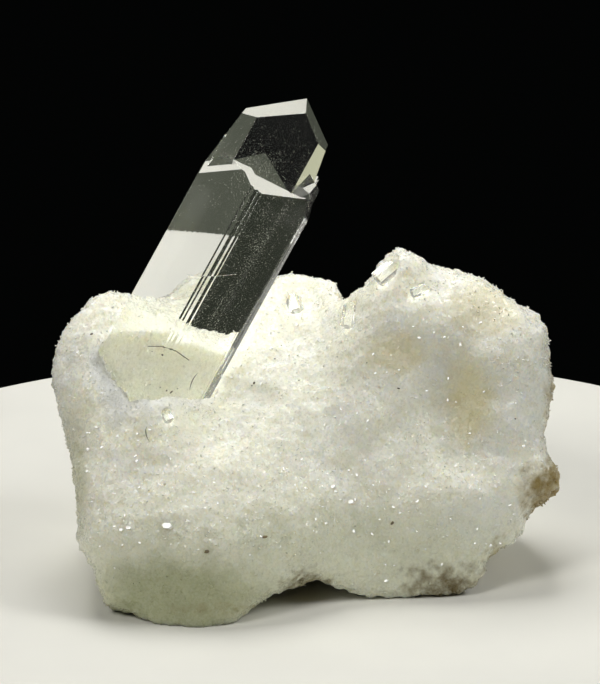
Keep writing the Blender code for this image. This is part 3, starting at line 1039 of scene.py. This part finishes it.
@dataclass
class BrightFaces(OnFace):
    """The larger crystal faces that catch the front lamp: bevelled plates, sunk in the matrix.

    A row is across, up, the size and the turn. A plate's rings are how far they spread and how
    high they lie, in half sizes.
    """

    strewn: int = 230
    spread: Line = ((-34.0, 34.0), (9.0, 46.0))
    sizes: Pair = (0.22, 0.34)
    outline: Line = ((1.0, 0.0), (0.6, 0.5), (-0.5, 0.55), (-1.0, 0.1), (-0.55, -0.5), (0.5, -0.55))
    rings: Line = ((1.0, 0.55), (1.25, -0.9))

    def __post_init__(self) -> None:
        """Strews more small ones over the face."""
        draw = random.Random(17)
        wide, high = self.spread
        least, more = self.sizes
        for _ in range(self.strewn):
            place = draw.uniform(*wide), draw.uniform(*high)
            size = least + more * draw.random() ** 2
            self.rows += ((*place, size, draw.uniform(0.0, math.pi)),)

    def add(self, work: bmesh.types.BMesh, index: int, row: tuple) -> None:
        """Adds one plate.

        Args:
            work: where it is built.
            index: its number.
            row: its places and sizes.
        """
        across, up, size, turn = row
        found = self.face.landing(across, up, self.surface)
        if found is None:
            return
        tilt = (self.face.outward() + Vector(FRONT_LAMP).normalized()).normalized()
        stand = tilt.to_track_quat("Z", "Y").to_matrix().to_4x4()
        place = Matrix.Translation(found[0]) @ stand @ Matrix.Rotation(turn, 4, "Z")
        half = 0.5 * size * MM
        rings = []
        for wide, high in self.rings:
            spots = [(x * half * wide, y * half * wide, high * half) for x, y in self.outline]
            rings.append([work.verts.new(place @ Vector(spot)) for spot in spots])
        top, low = rings
        work.faces.new(top)
        work.faces.new(low[::-1])
        for k in range(len(top)):
            work.faces.new((low[k - 1], low[k], top[k], top[k - 1]))


@dataclass
class CrystalDust:
    """Fine pale dust that clings to the crystal's front faces.

    Places are mm across and along the crystal. The dome is two bells, one each way; the streaks
    are bells across it, with how dusty they are, that end at the ledge.
    """

    crystal: Object
    axes: CrystalAxes
    scatter: Scatter = Scatter("dusty", "selenite_crystal", 3.2e7, 0.035, 0.13, 1.0, 0.0, seed=5)
    spacing: float = 0.8
    cuts: int = 7
    lowest: float = -6.0
    cloud: Pair = (0.9, 9.0)
    least: float = 0.01
    plain: float = 0.12
    dome: tuple[Pair, Pair] = ((-1.0, 3.0), (33.0, 3.2))
    dome_share: float = 0.9
    streaks: tuple[Triple, ...] = ((0.7, 4.6, 1.3), (0.6, 0.8, 2.2))
    ledge: float = 31.0
    foot: Triple = (0.35, 3.0, 6.0)
    foot_from: float = -2.0

    def build(self, material: Material) -> Object:
        """Strews the dust.

        Args:
            material: its finish.

        Returns:
            The dust as one piece.
        """
        carrier = placed("dust_carrier", self.carrier())
        work = bmesh.new()
        for axis in range(3):
            for side in (-0.5, 0.5):
                work.verts.new([side if k == axis else 0.0 for k in range(3)])
        bmesh.ops.convex_hull(work, input=work.verts)
        grain = mesh_from(work, "grain")
        dust = self.scatter.strew("crystal_dust", carrier, grain, material)
        bpy.data.objects.remove(carrier)
        return dust

    def carrier(self) -> Mesh:
        """Returns the crystal's mesh cut fine, with how dusty each spot is."""
        work = bmesh.new()
        work.from_mesh(self.crystal.data)
        bmesh.ops.triangulate(work, faces=work.faces)
        for _ in range(self.cuts):
            long = [e for e in work.edges if e.calc_length() > self.spacing * MM]
            bmesh.ops.subdivide_edges(work, edges=long, cuts=1)
            bmesh.ops.triangulate(work, faces=[f for f in work.faces if len(f.verts) > 3])
        mesh = mesh_from(work, "dust_carrier")
        into = self.axes.matrix().inverted()
        share = []
        for vert in mesh.vertices:
            spot = into @ vert.co / MM
            in_front = spot.y < 0.0 and spot.z > self.lowest
            share.append(self.dusty(spot.x, spot.z) if in_front else 0.0)
        mesh.attributes.new("dusty", "FLOAT", "POINT").data.foreach_set("value", share)
        return mesh

    def dusty(self, across: float, along: float) -> float:
        """Works out how dusty the crystal is at a place.

        Args:
            across: the place across it, in mm.
            along: the place along it, in mm.

        Returns:
            The dustiness, from 0 to 1.
        """
        fine, long = self.cloud
        cloud = 0.5 + noise.noise(Vector((across / fine, 4.0, along / long)))
        share = self.plain
        share += self.dome_share * bell(across, *self.dome[0]) * bell(along, *self.dome[1])
        for thick, middle, width in self.streaks:
            share += thick * bell(across, middle, width) * (along < self.ledge)
        thick, middle, width = self.foot
        share += thick * bell(along, middle, width) * (across > self.foot_from)
        return min(1.0, max(self.least, cloud * share))


@dataclass
class SmallCrystals:
    """The five small clear crystals that sit on the matrix, left in their solids' shape."""

    finish: ClearFinish
    names: tuple[str, ...] = ("crest", "notch", "lobe", "saddle", "foot")

    def dress(self) -> None:
        """Gives each one its material."""
        material = self.finish.material()
        for name in self.names:
            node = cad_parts[name + "_crystal"]
            node.data.materials.clear()
            node.data.materials.append(material)
            LOG.info("%s: dressed", node.name)


@dataclass(frozen=True)
class Lamp:
    """A soft lamp: its name, place and side in metres, power in watts and colour."""

    name: str
    place: Triple
    size: float
    power: float
    colour: Colour


@dataclass
class Studio:
    """A round pale table, soft lamps round the specimen, a dim room and the camera.

    The table and the lamps are in metres. The picture is in pixels, and a pixel, its centre on the
    face and the plane it is sharp in are in mm.
    """

    face: LeaningFace
    lamps: tuple[Lamp, ...] = (
        Lamp("top", (-0.06, 0.26, 0.56), 0.32, 2.7, (1.0, 0.99, 0.965)),
        Lamp("front", FRONT_LAMP, 0.24, 2.1, (1.0, 0.985, 0.96)),
        Lamp("side", (0.52, -0.09, 0.45), 0.24, 1.9, (0.99, 0.99, 0.97)),
        Lamp("card", (-0.292, -0.417, 0.318), 0.20, 0.04, (1.0, 0.99, 0.94)),
        Lamp("low", (-0.36, 0.53, 0.085), 0.16, 0.045, (1.0, 1.0, 0.70)),
        Lamp("behind", (-0.171, 0.765, -0.121), 0.12, 0.0011, (0.86, 1.0, 0.66)),
    )
    aim: Triple = (0.0, 0.0, 0.03)
    radius: float = 0.091
    thickness: float = 0.008
    rounding: float = 0.0012
    paint: PlainFinish = PlainFinish(
        "floor_paint", (0.74, 0.735, 0.68), (0.71, 0.705, 0.655), 0.6, grain=30.0
    )
    dark: Colour = (0.0010, 0.0012, 0.0011)
    ground: Colour = (0.078, 0.085, 0.064)
    horizon: Pair = (-0.418, -0.462)
    away: float = 0.9
    picture: tuple[int, int] = (600, 684)
    pixel: float = 0.15
    centre: Pair = (-0.75, 42.3)
    plane: float = -6.0

    def build(self) -> None:
        """Builds the table, lamps, room and camera."""
        self.table()
        self.room()
        for lamp in self.lamps:
            self.hang(lamp)
        self.camera()

    def table(self) -> None:
        """Builds the pale table that the specimen stands on."""
        work = bmesh.new()
        disc = {"segments": 128, "radius1": self.radius, "radius2": self.radius}
        bmesh.ops.create_cone(work, cap_ends=True, depth=self.thickness, **disc)
        bmesh.ops.translate(work, verts=work.verts, vec=(0.0, 0.0, -self.thickness / 2.0))
        edges = [e for e in work.edges if e.calc_face_angle(0.0) > 1.0]
        how = {"offset": self.rounding, "segments": 3, "affect": "EDGES", "profile": 0.5}
        bmesh.ops.bevel(work, geom=edges, **how)
        mesh = mesh_from(work, "floor")
        mesh.polygons.foreach_set("use_smooth", [len(p.vertices) < 9 for p in mesh.polygons])
        placed("floor", mesh, self.paint.material())

    def room(self) -> None:
        """Gives the scene a dark room whose ground, below the table, is dim grey."""
        world = bpy.data.worlds.new("room")
        world.use_nodes = True
        bench = Bench(world.node_tree)
        way = bench.add("ShaderNodeTexCoord").outputs["Generated"]
        height = bench.add("ShaderNodeSeparateXYZ", {0: way}).outputs[2]
        colour = bench.mix(bench.ramp(height, *self.horizon), self.dark, self.ground)
        bench.fill(world.node_tree.nodes["Background"], {"Color": colour})
        bpy.context.scene.world = world

    def hang(self, lamp: Lamp) -> None:
        """Adds a soft square lamp that points at the specimen.

        Args:
            lamp: its sizes.
        """
        data = bpy.data.lights.new(lamp.name, "AREA")
        data.shape = "SQUARE"
        data.size = lamp.size
        data.energy = lamp.power
        data.color = lamp.colour
        fitting = bpy.data.objects.new(lamp.name, data)
        fitting.location = lamp.place
        way = Vector(self.aim) - Vector(lamp.place)
        fitting.rotation_euler = way.to_track_quat("-Z", "Y").to_euler()
        bpy.context.scene.collection.objects.link(fitting)

    def camera(self) -> None:
        """Adds the camera, straight out from the leaning face."""
        data = bpy.data.cameras.new("camera")
        high = self.picture[1] * self.pixel * MM
        data.lens = data.sensor_width * (self.away - self.plane * MM) / high
        data.clip_start, data.clip_end = 0.01, 20.0
        camera = bpy.data.objects.new("camera", data)
        outward = self.face.outward()
        camera.location = self.face.point(*self.centre) + outward * self.away
        camera.rotation_euler = (-outward).to_track_quat("-Z", "Y").to_euler()
        bpy.context.scene.collection.objects.link(camera)
        bpy.context.scene.camera = camera
        bpy.context.scene.view_settings.view_transform = "Standard"


def outer_surface(*pieces: Object) -> BVHTree:
    """Joins several pieces' faces for searching.

    Args:
        pieces: the pieces.

    Returns:
        One search tree of all their faces.
    """
    points, faces = [], []
    for piece in pieces:
        first = len(points)
        points += [vert.co.copy() for vert in piece.data.vertices]
        faces += [[first + k for k in polygon.vertices] for polygon in piece.data.polygons]
    return BVHTree.FromPolygons(points, faces)


@dataclass
class Scattered:
    """What lies on the matrix: dirt, hairs and its larger bright crystal faces."""

    face: LeaningFace
    rock: Object
    dark: PlainFinish = PlainFinish("dark_dirt", (0.05, 0.045, 0.035), (0.02, 0.02, 0.016), 0.5)
    brown: PlainFinish = PlainFinish("brown_dirt", (0.22, 0.18, 0.10), (0.12, 0.10, 0.06), 0.6)
    shine: PlainFinish = PlainFinish("bright_face", (0.96, 0.96, 0.93), (0.93, 0.93, 0.90), 0.12)
    specks: Rows = (
        (-31.8, 43.5, 0.3, 1.6, 0.3), (-30.1, 42.2, 0.14, 1.4, 0), (-21.1, 40.4, 0.26, 1.5, -0.2),
        (-22.6, 40.9, 0.14, 1.4, 0), (-20.5, 35.1, 0.24, 1.3, 0.9), (-21.4, 35.6, 0.16, 1.4, 0),
        (-19.8, 34.9, 0.22, 3, 0.6), (-18.9, 35.4, 0.15, 1.4, 0), (-22.9, 36, 0.12, 1.4, 0),
        (-7.6, 36.2, 0.3, 1.4, 1.2), (-7.9, 35.8, 0.18, 1.4, 0), (-0.9, 36.6, 0.18, 1.4, 0),
        (-4.5, 39.8, 0.2, 1.4, 0), (9.2, 39.2, 0.17, 1.4, 0), (4.8, 40.1, 0.15, 1.2, 0),
        (13.9, 35.4, 0.22, 2.2, -0.2), (31.2, 30.9, 0.2, 1.4, 0), (29, 46.5, 0.18, 1.4, 0),
    )
    stains: Rows = (
        (-14.4, 11.6, 0.55, 1.5, 0.2), (-5.9, 13.7, 0.42, 2.2, 0), (12.9, 15.5, 0.4, 1.6, 0.7),
    )
    hairs: tuple[Line, ...] = (
        ((-15.9, 37.7), (-16.9, 36.7), (-17.1, 35.2)),
        ((-23.4, 29.8), (-23.7, 28.6), (-22.9, 27.6)),
    )
    flashes: Rows = (
        (-20.2, 15.3, 1.5, 0.1), (-25.9, 15, 0.8, 0.2), (-27, 14.7, 0.6, 0),
        (-28, 15.2, 0.5, 0), (4.1, 20.9, 0.8, 0.4), (4.5, 20.2, 0.5, 0),
        (6.8, 18.6, 0.9, 0.3), (7.5, 19, 0.5, 1), (7.2, 14.3, 0.6, 2.1), (9.3, 30.6, 0.5, 1.2),
        (7.7, 31.7, 0.45, 1.5), (16.1, 44.6, 0.4, 0), (17, 42.9, 0.55, 0),
        (12, 6.9, 0.6, 0.5), (-9.9, 27, 0.3, 0), (-3.6, 25.9, 0.4, 0.6),
        (1.9, 21.9, 0.35, 0), (-4.6, 19.3, 0.3, 0), (12.8, 31.4, 0.3, 0),
        (24.5, 28.7, 0.45, 0), (22.4, 23.9, 0.5, 0.8), (27.1, 41.5, 0.35, 0),
        (26.6, 34.9, 0.4, 1.1), (31.3, 33.2, 0.35, 0),
    )

    def build(self) -> None:
        """Builds the dirt, the hairs and the bright faces."""
        surface = outer_surface(self.rock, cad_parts["selenite_crystal"])
        dark = self.dark.material()
        DirtSpecks("dark_specks", self.face, surface, self.specks).build(dark)
        DirtSpecks("brown_specks", self.face, surface, self.stains).build(self.brown.material())
        Fibres("dark_fibres", self.face, surface, self.hairs).build(dark)
        rock = BVHTree.FromObject(self.rock, bpy.context.evaluated_depsgraph_get())
        faces = BrightFaces("bright_faces", self.face, rock, self.flashes, smooth=False)
        faces.build(self.shine.material())


def main() -> None:
    """Builds the specimen piece by piece and sets up the studio."""
    logging.basicConfig(level=logging.INFO, format="%(name)s %(message)s", stream=sys.stdout)
    face, groups = LeaningFace(), EffectGroups()
    rock = MatrixRock(face).build()
    rock.data.materials.append(RockFinish("matrix_rock", groups, face).material())
    pale = {"white": (0.97, 0.965, 0.90), "shade": (0.92, 0.915, 0.82)}
    # The druse crystals share the rock's patches, its painted shade too, in paler colours.
    glint = RockFinish("druse_glint", groups, face, soak=0.0, dullness=0.2, **pale)
    carpet = DruseCarpet(rock, glint).build()
    finish_piece(rock, Slot.ROCK, "matrix")
    finish_piece(carpet, Slot.ROCK)
    Scattered(face, rock).build()
    axes = CrystalAxes(face)
    frosts = (
        Patch((-1.0, 33.4, 4.0), (3.6, 3.4, 4.5), 0.16),
        Patch((-6.1, 32.0, 1.5), (2.3, 1.1, 4.0), 0.30, 0.5),
        Patch((5.9, 32.8, 1.5), (2.6, 1.3, 4.0), 0.45, 0.5),
        Patch((4.6, 18.0, 3.0), (0.9, 15.0, 4.0), 0.16, 0.7),
    )
    clear = ClearFinish("clear_selenite", groups, axes, frosts)
    crystal = finish_piece(MainCrystal(clear).build(), Slot.CLEAR, "selenite_crystal")
    dust = PlainFinish("gypsum_dust", (0.80, 0.83, 0.70), (0.66, 0.69, 0.56), 0.5)
    finish_piece(CrystalDust(crystal, axes).build(dust.material()), Slot.ROCK)
    SmallCrystals(ClearFinish("small_selenite", groups, axes, clear=0.88, haze=0.6)).dress()
    Studio(face).build()


if __name__ == "__main__":
    main()
